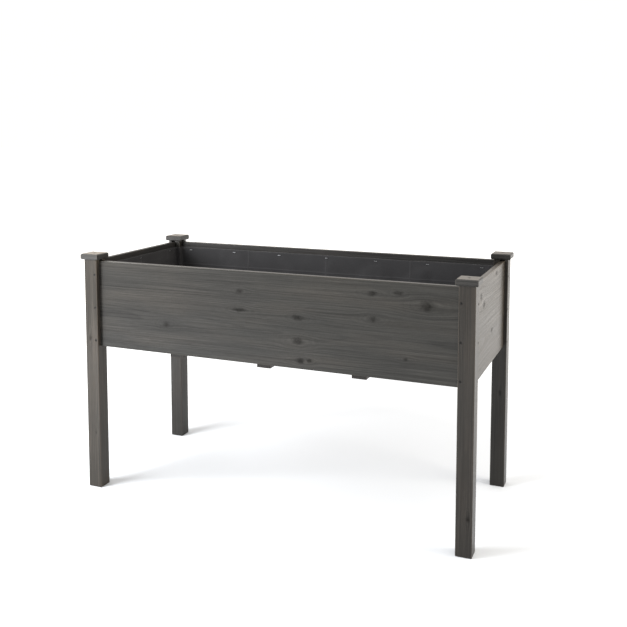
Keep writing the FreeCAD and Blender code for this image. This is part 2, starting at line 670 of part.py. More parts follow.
def make_liner_staples():
    face_y = places.long_back - sizes.liner_gap - sizes.liner_thick
    face_x = places.end_back - sizes.liner_gap - sizes.liner_thick
    staples = []
    for x in spread(places.staple_run_x, int(sizes.long_staples)):
        staples.append(staple_at(Vector(x, -face_y, places.staple_z), -90))
        staples.append(staple_at(Vector(x, face_y, places.staple_z), 90))
    for y in spread(places.staple_run_y, int(sizes.end_staples)):
        staples.append(staple_at(Vector(face_x, y, places.staple_z), 0))
        staples.append(staple_at(Vector(-face_x, y, places.staple_z), 180))
    make_group("liner_staples", staples)


def spread(run, count):
    """Places of a row of things over a run, centred on zero."""
    return [run * (step / (count - 1) - 0.5) for step in range(count)]


# ---------------------------------------------------------------- build
for corner, side_x, side_y in LEGS:
    make_leg(corner, side_x, side_y)
    make_cap(corner, side_x, side_y)
    make_leg_screws(corner, side_x, side_y)
make_cap_screws()

make_long_panel("front_panel", 0)
make_long_panel("back_panel", 180)
make_end_panel("right_panel", 0)
make_end_panel("left_panel", 180)

for side, place in BEARERS:
    make_bearer(side, place)
make_bearer_screws()
make_cleat("cleat_right", 0)
make_cleat("cleat_left", 180)
make_cleat_screws()

for number in range(FLOOR_BOARDS):
    make_floor_board(number)
make_floor_nails()

make_liner()
make_liner_staples()

# ---------------------------------------------------------------- check and write
doc.recompute()
for obj in doc.Objects:
    if "Invalid" in obj.State or "Error" in obj.State:
        raise RuntimeError("%s failed: %s" % (obj.Label, obj.State))
for obj in sub_parts:
    if obj.Shape.isNull() or not obj.Shape.isValid():
        raise RuntimeError("%s has no valid shape" % obj.Label)

os.makedirs("parts", exist_ok=True)
for obj in sub_parts:
    obj.Shape.exportStep("parts/%s.step" % obj.Label)
    box = obj.Shape.BoundBox
    print("%-26s %2d solid(s)  %7.1f x %6.1f x %6.1f mm  %9.0f mm3"
          % (obj.Label, len(obj.Shape.Solids), box.XLength, box.YLength, box.ZLength, obj.Shape.Volume))
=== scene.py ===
# %% [markdown]
# # A raised planter in grey-stained fir
# The planter is flat-pack garden furniture: four grooved posts, four wide boards, a slatted
# floor on three bearers, and a fabric lining. Its timber and screws come from the CAD model
# as they are, so this script gives them their finish, and makes the one soft piece, the
# lining, as cloth. Lengths are in metres unless a name ends in _MM.

# %% Load the frame
import math

import bmesh
import bpy
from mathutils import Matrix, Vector, bvhtree, kdtree, noise


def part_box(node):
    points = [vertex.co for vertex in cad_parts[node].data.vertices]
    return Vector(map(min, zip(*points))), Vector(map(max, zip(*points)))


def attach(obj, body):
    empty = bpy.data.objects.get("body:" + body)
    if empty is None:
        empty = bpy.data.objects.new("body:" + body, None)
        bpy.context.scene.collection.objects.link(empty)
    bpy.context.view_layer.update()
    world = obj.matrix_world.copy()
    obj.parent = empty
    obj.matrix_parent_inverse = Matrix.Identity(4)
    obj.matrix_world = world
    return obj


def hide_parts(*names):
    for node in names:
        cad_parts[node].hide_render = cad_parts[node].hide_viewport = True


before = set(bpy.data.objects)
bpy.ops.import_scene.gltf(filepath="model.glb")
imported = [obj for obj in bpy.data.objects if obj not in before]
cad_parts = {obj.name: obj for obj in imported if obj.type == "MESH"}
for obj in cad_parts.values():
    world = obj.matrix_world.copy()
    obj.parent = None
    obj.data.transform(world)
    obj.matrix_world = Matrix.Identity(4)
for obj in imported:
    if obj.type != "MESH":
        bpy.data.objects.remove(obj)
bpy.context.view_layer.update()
MM = 0.001

# %% [markdown]
# ## Camera
# The planter is seen from chest height, well to the right of its middle, with an everyday
# lens. In a studio the posts are kept nearly upright: the camera tilts down only a little
# and the lens slides for the rest, so the camera has a small shift.

# %% Camera
CAMERA_AT = Vector((1.059, -2.442, 1.148))
CAMERA_TURN = math.radians(22.42)
CAMERA_TILT = math.radians(4.964)

camera_data = bpy.data.cameras.new("camera")
camera_data.sensor_width = 36
camera_data.lens = 48.39
camera_data.shift_y = -0.175
camera = bpy.data.objects.new("camera", camera_data)
camera.location = CAMERA_AT
camera.rotation_euler = (math.radians(90) - CAMERA_TILT, 0, CAMERA_TURN)
bpy.context.collection.objects.link(camera)
bpy.context.scene.camera = camera
print("camera looks down by", round(math.degrees(CAMERA_TILT), 1), "degrees")

# %% [markdown]
# ## Studio
# A white room: an even white sky, a key light at the front left that draws the soft shadows
# of the posts, a weak warm fill at the right, and an overhead sun so wide that it only
# brightens what faces up. The key stands close, so it falls off along the planter and its
# left end is the lighter one. Dark timber shows its satin finish where it is seen at a
# glancing angle: there it mirrors the white room, and needs no light of its own. The room
# is a touch warm. It is too bright for that to show, but the timber's sheen picks it up.

# %% Lights
WARM_SKY = (1.10, 1.05, 1.0, 1)


def soft_box(name, place, target, size, watts, colour):
    """A square area light that faces a point."""
    data = bpy.data.lights.new(name, "AREA")
    data.size = size
    data.energy = watts
    data.color = colour
    light = bpy.data.objects.new(name, data)
    light.location = place
    light.rotation_euler = (Vector(target) - Vector(place)).to_track_quat("-Z", "Y").to_euler()
    bpy.context.collection.objects.link(light)


soft_box("key", (-1.9, -1.7, 1.5), (-0.3, 0, 0.4), 1.4, 155, (1.0, 1.0, 1.0))
soft_box("fill", (2.8, 0.2, 1.1), (0.6, 0, 0.5), 1.4, 60, (1.0, 0.93, 0.82))

sun_data = bpy.data.lights.new("overhead", "SUN")
sun_data.energy = 0.9
sun_data.angle = math.radians(60)
bpy.context.collection.objects.link(bpy.data.objects.new("overhead", sun_data))

world = bpy.data.worlds.new("white_room")
world.use_nodes = True
world.node_tree.nodes["Background"].inputs["Color"].default_value = WARM_SKY
world.node_tree.nodes["Background"].inputs["Strength"].default_value = 1.0
bpy.context.scene.world = world
bpy.context.scene.view_settings.view_transform = "Standard"
print("lit by", len(bpy.data.lights), "lights and a white sky")

# %% [markdown]
# ## Helpers for materials
# A stain chart gives colours as sRGB hex values, and the shader wants them linear, so one
# function turns them. One more adds any shader node with its settings and links, which
# keeps the long chains for wood short to read.

# %% Colour and node helpers
def linear(hex_colour):
    """An sRGB hex colour such as '5a5853' as linear red, green, blue and alpha."""
    channels = [int(hex_colour[i:i + 2], 16) / 255 for i in (0, 2, 4)]
    return [c / 12.92 if c < 0.04045 else ((c + 0.055) / 1.055) ** 2.4 for c in channels] + [1]


def add(tree, kind, inputs=(), stops=(), **settings):
    """Adds a shader node; inputs maps its sockets to values or to the outputs that feed them."""
    made = tree.nodes.new("ShaderNode" + kind)
    for name, value in settings.items():
        setattr(made, name, value)
    for socket, value in dict(inputs).items():
        if isinstance(value, bpy.types.NodeSocket):
            tree.links.new(value, made.inputs[socket])
        else:
            made.inputs[socket].default_value = value
    for position, colour in stops:
        old = [e for e in made.color_ramp.elements if abs(e.position - position) < 1e-6]
        element = old[0] if old else made.color_ramp.elements.new(position)
        element.color = colour
    return made


def new_material(name):
    """A material with its shader, for the pieces of one finish."""
    material = bpy.data.materials.new(name)
    material.use_nodes = True
    return material, material.node_tree, material.node_tree.nodes["Principled BSDF"]


def dress(node, material):
    """Gives a CAD node its finish."""
    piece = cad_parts[node]
    for slot in piece.material_slots:
        slot.material = material


# %% [markdown]
# ## Grey-stained fir
# Fir boards are sawn along the trunk, so their figure is growth rings seen edge on: a face
# near the pith shows wide arches, and a face across the rings shows straight lines. The
# honest way to draw that is in three dimensions: the distance from a pith line, divided by
# the ring width, gives rings that match on all six faces, with arcs on the end grain. A
# knot is a branch cut through. The rings flow round it like water round a stone, so the
# figure is pushed away from each knot before the rings are drawn, and close to the knot a
# few of its own rings close into an eye. Thin grey stain evens all that out: it takes a
# little darker on late wood and end grain, and rubs through to paler wood on the arrises.
# Over it lies a satin coat, uneven along the streaks and thinner on the knots. On the caps,
# what faces up is paler: sun fading and painted top light. The caps as a whole are painted
# lighter than their posts: painted light from above.

# %% Fir settings
RING_MM = 5.0
WANDER_MM = 12
TAPER = 0.011
KNOT_REACH = 4.5    # how far round a knot the rings bend, in its radii
KNOT_PUSH = 0.7     # how strongly they bend at its heart
RUBBED_MM = (2.8, 4.6)
RUBBED_RAGGED_MM = 5
EARLY_WOOD = linear("252525")
LATE_WOOD = linear("121212")
BROWN_CAST = linear("272422")
KNOT_HEART = linear("151413")
KNOT_RIM = linear("0f0e0d")
RUBBED_WOOD = linear("3f3d3a")
# Paler wood for what faces up: sun fading and painted top light.
FADED_AND_TOP_LIT_WOOD = linear("57514a")
SATIN = 0.4
SATIN_SPREAD = 0.12
print("fir with growth rings", RING_MM, "mm apart")


def grey(share):
    """A grey of this linear strength, for the stops of a ramp that works as a curve."""
    return (share, share, share, 1)


# %% Knots
def nearest(tree, best, share):
    """The smaller of two distances, where the first may not be there yet."""
    if best is None:
        return share
    return add(tree, "Math", {0: best, 1: share}, operation="MINIMUM").outputs[0]


def knot_layers(tree, board, figure, knots):
    """Pushes the figure away from each knot; returns it with the distances to heart and eye."""
    heart = eye = None
    for along, across, radius, stretch in knots:
        offset = add(tree, "VectorMath", {0: board, 1: (along, across, 0)},
                     operation="SUBTRACT").outputs[0]
        reach = add(tree, "VectorMath", {0: offset, 1: (0.4, 1, 0)}, operation="MULTIPLY").outputs[0]
        apart = add(tree, "VectorMath", {0: reach}, operation="LENGTH").outputs["Value"]
        swell = add(tree, "MapRange", {"Value": apart, "From Min": 0, "From Max": radius * KNOT_REACH,
                                       "To Min": KNOT_PUSH, "To Max": 0},
                    interpolation_type="SMOOTHERSTEP").outputs[0]
        sideways = add(tree, "VectorMath", {0: offset, 1: (0, 1, 0)}, operation="MULTIPLY").outputs[0]
        push = add(tree, "VectorMath", {0: sideways, "Scale": swell}, operation="SCALE").outputs[0]
        figure = add(tree, "VectorMath", {0: figure, 1: push}, operation="SUBTRACT").outputs[0]

        for zone, squeeze in (("heart", 1 / stretch), ("eye", 1 / (1 + stretch))):
            oval = add(tree, "VectorMath", {0: offset, 1: (squeeze / radius, 1 / radius, 0)},
                       operation="MULTIPLY").outputs[0]
            share = add(tree, "VectorMath", {0: oval}, operation="LENGTH").outputs["Value"]
            if zone == "heart":
                heart = nearest(tree, heart, share)
            else:
                eye = nearest(tree, eye, share)
    return figure, heart, eye


def draw_knots(tree, board, colour, heart, eye):
    """Darkens the knots' hearts and rings them with an eye; returns how knotty a point is too."""
    lumps = add(tree, "TexNoise", {"Vector": board, "Scale": 1 / 9, "Detail": 2}).outputs["Fac"]
    ragged = add(tree, "Math", {0: lumps, 1: 1.0, 2: eye}, operation="MULTIPLY_ADD").outputs[0]
    closed = add(tree, "Math", {0: ragged, 1: 0.2}, operation="MULTIPLY").outputs[0]
    rings = add(tree, "ValToRGB", {0: closed}, stops=[
        (0, grey(0.82)), (0.30, grey(0.82)), (0.37, grey(1)), (0.45, grey(0.8)), (0.52, grey(0.98)),
        (0.62, grey(0.84)), (0.70, grey(0.95)), (0.82, grey(0.87)), (1, grey(0.9))]).outputs[0]
    rings = add(tree, "VectorMath", {0: rings, "Scale": 1 / 0.9}, operation="SCALE").outputs[0]
    colour = add(tree, "VectorMath", {0: colour, 1: rings}, operation="MULTIPLY").outputs[0]

    ragged = add(tree, "Math", {0: lumps, 1: 1.3, 2: heart}, operation="MULTIPLY_ADD").outputs[0]
    core = add(tree, "ValToRGB", {0: ragged}, stops=[
        (0, KNOT_HEART), (0.6, linear("141312")), (0.95, KNOT_RIM), (1, KNOT_RIM)]).outputs[0]
    inside = add(tree, "MapRange", {"Value": ragged, "From Min": 0.8, "From Max": 2.4,
                                    "To Min": 1.5, "To Max": 0},
                 interpolation_type="SMOOTHSTEP").outputs[0]
    broken = add(tree, "TexNoise", {"Vector": board, "Scale": 1 / 5, "Detail": 3}).outputs["Fac"]
    inside = add(tree, "Math", {0: inside, 1: broken}, operation="MULTIPLY", use_clamp=True).outputs[0]
    return add(tree, "Mix", {0: inside, 6: colour, 7: core}, data_type="RGBA").outputs[2], inside


# %% Arrises
def arris_wear(tree, board, half, streaks):
    """How far a board's long edges are rubbed, from 0 to 1."""
    # The second smallest distance to the board's three pairs of faces is the way to an arris.
    across = add(tree, "VectorMath", {0: board}, operation="ABSOLUTE").outputs[0]
    gaps = add(tree, "VectorMath", {0: half, 1: across}, operation="SUBTRACT").outputs[0]
    gap = add(tree, "SeparateXYZ", {0: gaps}).outputs
    least = add(tree, "Math", {0: gap[0], 1: gap[1]}, operation="MINIMUM").outputs[0]
    most = add(tree, "Math", {0: gap[0], 1: gap[1]}, operation="MAXIMUM").outputs[0]
    other = add(tree, "Math", {0: most, 1: gap[2]}, operation="MINIMUM").outputs[0]
    arris = add(tree, "Math", {0: least, 1: other}, operation="MAXIMUM").outputs[0]
    worn = add(tree, "Math", {0: streaks, 1: RUBBED_RAGGED_MM, 2: arris},
               operation="MULTIPLY_ADD").outputs[0]
    return add(tree, "MapRange", {"Value": worn, "From Min": RUBBED_MM[0], "From Max": RUBBED_MM[1],
                                  "To Min": 0.6, "To Max": 0}).outputs[0]


# %% [markdown]
# ## A place on the board
# Rings and fibres follow the tree, not the room, so the material first turns a point of the
# planter into its place on the board: along the grain, across the wide face, and through
# it. The trunk wasn't straight either, so slow noise moves the figure to and fro.

# %% Place and wander
AXES = {"X": 0, "Y": 1, "Z": 2}
SLOW_MM = (800, 160)
SEED_STEP = 7.3


def board_place(tree, node, grain, wide):
    """A place in mm from the board's middle, its part along the grain, the half sizes, the axis."""
    low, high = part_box(node)
    middle = (low + high) / 2
    thick = next(axis for axis in "XYZ" if axis not in (grain, wide))
    order = [AXES[grain], AXES[wide], AXES[thick]]
    half = [(high[i] - low[i]) / 2 / MM for i in order]
    place = add(tree, "TexCoord").outputs["Object"]
    centred = add(tree, "VectorMath", {0: place, 1: middle}, operation="SUBTRACT").outputs[0]
    scaled = add(tree, "VectorMath", {0: centred, "Scale": 1 / MM}, operation="SCALE").outputs[0]
    split = add(tree, "SeparateXYZ", {0: scaled})
    parts = [split.outputs[i] for i in order]
    board = add(tree, "CombineXYZ", {0: parts[0], 1: parts[1], 2: parts[2]}).outputs[0]
    return board, parts[0], half, order[0]


def drawn_out(tree, place, size_mm):
    """A place scaled so that noise on it comes out this long and this wide, in mm."""
    along, across = size_mm
    return add(tree, "VectorMath", {0: place, 1: (1 / along, 1 / across, 1 / across)},
               operation="MULTIPLY").outputs[0]


def wander(tree, board, name):
    """The slow place that clouds and rings share, and the figure moved to and fro by it."""
    seed = sum(ord(letter) for letter in name) * SEED_STEP
    slow = drawn_out(tree, board, SLOW_MM)
    slow = add(tree, "VectorMath", {0: slow, 1: (seed, 0, 0)}, operation="ADD").outputs[0]
    sway = add(tree, "TexNoise", {"Vector": slow, "Scale": 1, "Detail": 1}).outputs["Color"]
    centre = add(tree, "VectorMath", {0: sway, 1: (0.5, 0.5, 0.5)}, operation="SUBTRACT").outputs[0]
    drift = add(tree, "VectorMath", {0: centre, 1: (0, WANDER_MM, WANDER_MM)},
                operation="MULTIPLY").outputs[0]
    return slow, add(tree, "VectorMath", {0: board, 1: drift}, operation="ADD").outputs[0]


# %% [markdown]
# ## Rings and fibres
# A ring starts with pale early wood and ends in a dark line of late wood. Its place is the
# distance from the pith, and the trunk's taper shifts it along the grain. Between the rings
# run the fibres. Real ones are 0.05 mm wide, so they are drawn coarser, in three widths:
# streaks, a few long dark lines, and fine fibres.

# %% Rings and fibres
STREAK_MM = (380, 3.6)
DARK_LINE_MM = (900, 3.4)
FINE_FIBRE_MM = (30, 0.9)


def late_wood(tree, figure, along, slow, pith):
    """How late in its year the wood at a point grew, from 0 to 1."""
    from_pith = add(tree, "VectorMath", {0: figure, 1: (0, *pith)}, operation="SUBTRACT").outputs[0]
    flat = add(tree, "VectorMath", {0: from_pith, 1: (0, 1, 1)}, operation="MULTIPLY").outputs[0]
    radius = add(tree, "VectorMath", {0: flat}, operation="LENGTH").outputs["Value"]
    cone = add(tree, "Math", {0: along, 1: TAPER, 2: radius}, operation="MULTIPLY_ADD").outputs[0]
    rings = add(tree, "Math", {0: cone, 1: RING_MM}, operation="DIVIDE").outputs[0]
    uneven = add(tree, "TexNoise", {"Vector": slow, "Scale": 3, "Detail": 1}).outputs["Fac"]
    phase = add(tree, "Math", {0: uneven, 1: 3, 2: rings}, operation="MULTIPLY_ADD").outputs[0]
    turn = add(tree, "Math", {0: phase}, operation="FRACT").outputs[0]
    return add(tree, "ValToRGB", {0: turn}, stops=[
        (0, grey(0)), (0.55, grey(0.15)), (0.88, grey(1)), (1, grey(0.05))]).outputs[0]


def fibre_layers(tree, figure):
    """Noise drawn out along the grain: streaks, long dark lines and fine fibres."""
    streaks = add(tree, "TexNoise", {"Vector": drawn_out(tree, figure, STREAK_MM), "Scale": 1,
                                     "Detail": 3, "Roughness": 0.55}).outputs["Fac"]
    lines = add(tree, "TexNoise", {"Vector": drawn_out(tree, figure, DARK_LINE_MM), "Scale": 1,
                                   "Detail": 1.5}).outputs["Fac"]
    fibres = add(tree, "TexNoise", {"Vector": drawn_out(tree, figure, FINE_FIBRE_MM), "Scale": 1,
                                    "Detail": 2}).outputs["Fac"]
    return streaks, lines, fibres


# %% [markdown]
# ## Stain and wear
# Thin stain is darker on late wood, cloudy where the wood drinks unevenly, and gathers in a
# few long lines. Then comes what use does: end grain has drunk the stain and the arrises have
# lost it. What faces up on the caps is paler: sun fading and painted top light.

# %% Stain and wear
def stain(tree, late, clouds, streaks, lines, fibres):
    """The colour of stained wood before knots and wear."""
    shade = add(tree, "Math", {0: late, 1: 0.5}, operation="MULTIPLY").outputs[0]
    colour = add(tree, "Mix", {0: shade, 6: EARLY_WOOD, 7: LATE_WOOD}, data_type="RGBA").outputs[2]
    cast = add(tree, "MapRange", {"Value": clouds, "From Min": 0.42, "From Max": 0.68,
                                  "To Max": 0.4}).outputs[0]
    colour = add(tree, "Mix", {0: cast, 6: colour, 7: BROWN_CAST}, data_type="RGBA").outputs[2]
    for layer, low_light, high_light in ((streaks, 0.72, 1.28), (fibres, 0.8, 1.2),
                                         (clouds, 0.8, 1.2)):
        bright = add(tree, "MapRange", {"Value": layer, "From Min": 0.3, "From Max": 0.7,
                                        "To Min": low_light, "To Max": high_light}).outputs[0]
        colour = add(tree, "VectorMath", {0: colour, "Scale": bright}, operation="SCALE").outputs[0]
    drawn = add(tree, "MapRange", {"Value": lines, "From Min": 0.6, "From Max": 0.7,
                                   "To Min": 1, "To Max": 0.6}).outputs[0]
    return add(tree, "VectorMath", {0: colour, "Scale": drawn}, operation="SCALE").outputs[0]


def wear(tree, colour, rubbed, grain_axis, clouds, faded_and_top_lit):
    """Darkens the end grain, rubs the arrises, and makes what faces up paler: fading and painted top
    light.
    """
    facing = add(tree, "SeparateXYZ", {0: add(tree, "TexCoord").outputs["Normal"]}).outputs
    end = add(tree, "Math", {0: facing[grain_axis]}, operation="ABSOLUTE").outputs[0]
    sawn = add(tree, "MapRange", {"Value": end, "From Min": 0.8, "From Max": 0.95,
                                  "To Max": 0.45}).outputs[0]
    colour = add(tree, "Mix", {0: sawn, 6: colour, 7: LATE_WOOD}, data_type="RGBA").outputs[2]
    colour = add(tree, "Mix", {0: rubbed, 6: colour, 7: RUBBED_WOOD}, data_type="RGBA").outputs[2]
    # What faces up is made paler: sun fading and painted top light.
    if faded_and_top_lit:
        upward = add(tree, "MapRange", {"Value": facing[2], "From Min": 0.8,
                                        "From Max": 0.95, "To Max": 2 * faded_and_top_lit}).outputs[0]
        top_lit_and_faded = add(tree, "Math", {0: upward, 1: clouds}, operation="MULTIPLY").outputs[0]
        colour = add(tree, "Mix", {0: top_lit_and_faded, 6: colour, 7: FADED_AND_TOP_LIT_WOOD}, data_type="RGBA").outputs[2]
    return colour


# %% The fir material
def stained_fir(node, grain, wide, pith, knots=(), tint_and_painted_light=(1, 1, 1), faded_and_top_lit=0):
    """Fir for one board: axes of its grain and wide face, pith and knots in mm, its colour cast with
    painted light and shade, and a top made paler by fading and painted top light.
    """
    material, tree, shader = new_material("grey_stained_fir_" + node)
    board, along, half, grain_axis = board_place(tree, node, grain, wide)
    slow, figure = wander(tree, board, node)
    figure, heart, eye = knot_layers(tree, board, figure, knots)
    late = late_wood(tree, figure, along, slow, pith)
    streaks, lines, fibres = fibre_layers(tree, figure)
    clouds = add(tree, "TexNoise", {"Vector": slow, "Scale": 3.1, "Detail": 4}).outputs["Fac"]

    colour = stain(tree, late, clouds, streaks, lines, fibres)
    satin = add(tree, "MapRange", {"Value": streaks, "From Min": 0.3, "From Max": 0.7,
                                   "To Min": SATIN - SATIN_SPREAD,
                                   "To Max": SATIN + SATIN_SPREAD}).outputs[0]
    if knots:
        colour, knotty = draw_knots(tree, board, colour, heart, eye)
        satin = add(tree, "Math", {0: knotty, 1: -0.4, 2: satin}, operation="MULTIPLY_ADD",
                    use_clamp=True).outputs[0]
    rubbed = arris_wear(tree, board, half, streaks)
    colour = wear(tree, colour, rubbed, grain_axis, clouds, faded_and_top_lit)
    # The stick's colour cast: its stain tone, and on some pieces painted light and shade too.
    colour = add(tree, "VectorMath", {0: colour, 1: tint_and_painted_light}, operation="MULTIPLY").outputs[0]

    # Late wood stands a little proud of the planed face and is a little smoother.
    gloss = add(tree, "MapRange", {"Value": late, "To Min": 0.55, "To Max": 0.45}).outputs[0]
    relief = add(tree, "Math", {0: fibres, 1: 0.5, 2: late}, operation="MULTIPLY_ADD").outputs[0]
    bump = add(tree, "Bump", {"Height": relief, "Strength": 0.3, "Distance": 0.2 * MM}).outputs[0]
    shader.inputs["Specular IOR Level"].default_value = 0.1
    shader.inputs["Coat Roughness"].default_value = 0.22
    tree.links.new(colour, shader.inputs["Base Color"])
    tree.links.new(gloss, shader.inputs["Roughness"])
    tree.links.new(satin, shader.inputs["Coat Weight"])
    tree.links.new(bump, shader.inputs["Normal"])
    return material


# %% [markdown]
# ## Dress the timber
# Each board comes from its own stick of timber, so the side boards, posts and floor boards
# have their own pith and knots. The bearers share theirs, and so do the cleats: they hardly
# show, and noise that differs from piece to piece is enough to tell them apart. Branches
# grow in whorls, and that is why knots sit two or three in a line across a board.
# A knot is given as millimetres along the grain from the board's middle, millimetres up or
# across it, its radius, and how much longer than wide it is: a branch cut square across is
# round, one cut along its length is a long streak. The tints are partly what stain does from
# one stick to the next and partly painted light and shade: the right board and the front left
# post are painted lighter, and the front right and back right posts and the bearers darker.

# %% Side boards
FRONT_KNOTS = [(-331, -44, 7, 1.2), (-79, 76, 6, 1.5), (-79, 20, 6, 3.2), (109, 12, 7, 2),
               (109, -56, 9, 1.5), (117, -112, 7, 1.6), (144, -110, 5, 1.4), (333, 100, 6, 1.8),
               (336, 28, 7, 1.6), (408, 106, 6, 1.8), (490, 76, 13, 1.1), (430, -75, 4, 1.3)]
BACK_KNOTS = [(-402, 60, 6, 1.3), (-398, -35, 4, 2), (-60, 96, 5, 1.6), (-52, -70, 7, 1.2),
              (236, 18, 5, 2.6), (240, -88, 4, 1.4), (470, 40, 6, 1.3)]
RIGHT_KNOTS = [(-143, 90, 9, 1.3), (-101, 62, 9, 1.6), (22, -40, 7, 1.4), (85, 122, 7, 2)]
LEFT_KNOTS = [(-120, -60, 5, 1.5), (-112, 48, 7, 1.2), (96, 84, 4, 2.2), (104, -20, 5, 1.4)]

BOARDS = [
    ("front_panel", "X", "Z", (-30, 60), FRONT_KNOTS, (1.0, 0.98, 0.88)),
    ("back_panel", "X", "Z", (45, 70), BACK_KNOTS, (0.97, 0.96, 0.95)),
    # The right board's light, warm cast is painted light: lighter and warmer, as the light from the right
    # makes it look.
    ("right_panel", "Y", "Z", (-40, 90), RIGHT_KNOTS, (1.55, 1.32, 1.0)),
    ("left_panel", "Y", "Z", (25, 60), LEFT_KNOTS, (1.02, 1.0, 0.98)),
]
for node, grain, wide, pith, knots, tint_and_painted_light in BOARDS:
    dress(node, stained_fir(node, grain, wide, pith, knots, tint_and_painted_light))
    print("dressed", node, "with", len(knots), "knots")

# %% Posts and caps
# The caps are painted lighter than their posts: painted light from above. They also carry their posts'
# painted light and shade.
CAP_PAINTED_LIGHT = 1.3
CAP_WARMER = 0.97
CAP_FADED_AND_TOP_LIT = 0.7
# The posts' tints are painted light and shade: the front left post lighter, near the key at the left, and
# the front right and back right posts darker, the back right one in the shade under the box. The back
# left post's cast is its stain.
POSTS = [
    ("leg_front_right", (-60, 40), [(-262, 10, 5, 1.3)], (0.95, 0.83, 0.69)),
    ("leg_front_left", (70, 50), [(120, -6, 4, 2), (-190, 9, 3, 1.5)], (1.78, 1.54, 1.25)),
    ("leg_back_right", (50, -80), [(-60, 5, 4, 1.8)], (0.66, 0.6, 0.5)),
    ("leg_back_left", (-45, 70), [(30, -8, 4, 1.5)], (1.05, 0.99, 0.89)),
]
for node, pith, knots, tint_and_painted_light in POSTS:
    dress(node, stained_fir(node, "Z", "X", pith, knots, tint_and_painted_light))
    cap = node.replace("leg", "cap")
    shade = CAP_PAINTED_LIGHT * sum(tint_and_painted_light) / 3
    cap_tint_and_light = (shade, shade, CAP_WARMER * shade)
    dress(cap, stained_fir(cap, "X", "Y", (pith[1], -40), (), cap_tint_and_light, CAP_FADED_AND_TOP_LIT))
print("dressed", 2 * len(POSTS), "posts and caps")

# %% Floor, bearers and cleats
# The bearers' cast darkens them: painted shade, where they lie under the boards.
BEARER_TINT_AND_SHADE = (0.48, 0.39, 0.31)
for number in range(1, 6):
    node = "floor_board_%d" % number
    knots = [(-430 + 173 * number, 14 - 9 * number, 5, 1.4),
             (310 - 97 * number, 8 * number - 30, 4, 2)]
    dress(node, stained_fir(node, "X", "Y", (22 - 11 * number, -55), knots))
for node in ("bearer_left", "bearer_middle", "bearer_right"):
    dress(node, stained_fir(node, "Y", "X", (-35, 50), [(90, 6, 4, 1.5)], BEARER_TINT_AND_SHADE))
for node in ("cleat_left", "cleat_right"):
    dress(node, stained_fir(node, "Y", "Z", (20, -45)))
print("dressed the floor, its bearers and its cleats")

# %% [markdown]
# ## Screws, nails and staples
# The screws are steel with a black phosphate finish: dark, slightly rough crystals that turn
# shiny where a driver bit has rubbed the slots. Nails and staples are bright zinc-plated
# wire, a little mottled.

# %% Metals
ROUGHNESS_SPREAD = 0.12


def plated_steel(name, dark_hex, light_hex, grain_mm, roughness, metallic=1.0):
    """A plated steel whose crystals mottle its colour and its roughness."""
    material, tree, shader = new_material(name)
    place = add(tree, "TexCoord").outputs["Object"]
    crystals = add(tree, "TexNoise", {"Vector": place, "Scale": 1 / (grain_mm * MM), "Detail": 3})
    colour = add(tree, "Mix", {0: crystals.outputs["Fac"], 6: linear(dark_hex), 7: linear(light_hex)},
                 data_type="RGBA")
    uneven = add(tree, "MapRange", {"Value": crystals.outputs["Fac"],
                                    "To Min": roughness - ROUGHNESS_SPREAD,
                                    "To Max": roughness + ROUGHNESS_SPREAD})
    bump = add(tree, "Bump", {"Height": crystals.outputs["Fac"], "Strength": 0.3,
                              "Distance": 0.05 * MM})
    shader.inputs["Metallic"].default_value = metallic
    tree.links.new(colour.outputs[2], shader.inputs["Base Color"])
    tree.links.new(uneven.outputs[0], shader.inputs["Roughness"])
    tree.links.new(bump.outputs[0], shader.inputs["Normal"])
    return material


phosphated_steel = plated_steel("phosphated_steel", "090909", "1a1918", 1.2, 0.6, 0.5)
zinc_plated_wire = plated_steel("zinc_plated_wire", "8d9094", "b4b6b8", 2.0, 0.38)
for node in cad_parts:
    if "screws" in node:
        dress(node, phosphated_steel)
    elif node in ("floor_nails", "liner_staples"):
        dress(node, zinc_plated_wire)
print("dressed the screws, the nails and the staples")

# %% [markdown]
# ## The lining
# A planter like this is lined with black non-woven fabric, so that water drains through the
# slatted floor and the soil stays. It is one flat sheet, pushed down into the box, folded at
# the corners, turned over at the rim and stapled to the boards. It could be drawn as five
# flat walls, but real fabric is cut a little too large and swells inward between its staples.
# So the sheet starts as an open box of small quads that follows the inside of the planter,
# and Blender's Cloth does the rest: it is told that the fabric is a little larger than the
# box, and it is pinned where the staples, the floor and the corners hold it.

# %% Size of the lining
FABRIC = 0.8 * MM
CELL = 12 * MM
STAPLE_GAP = 1.6 * MM
PLAY = 0.1 * MM
POST_GAP = 5 * PLAY

space_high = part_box("liner")[1]
post = -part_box("leg_front_left")[1]
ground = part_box("floor_board_3")[1].z
print("the lining is", round(space_high.z - ground, 3), "m deep inside")


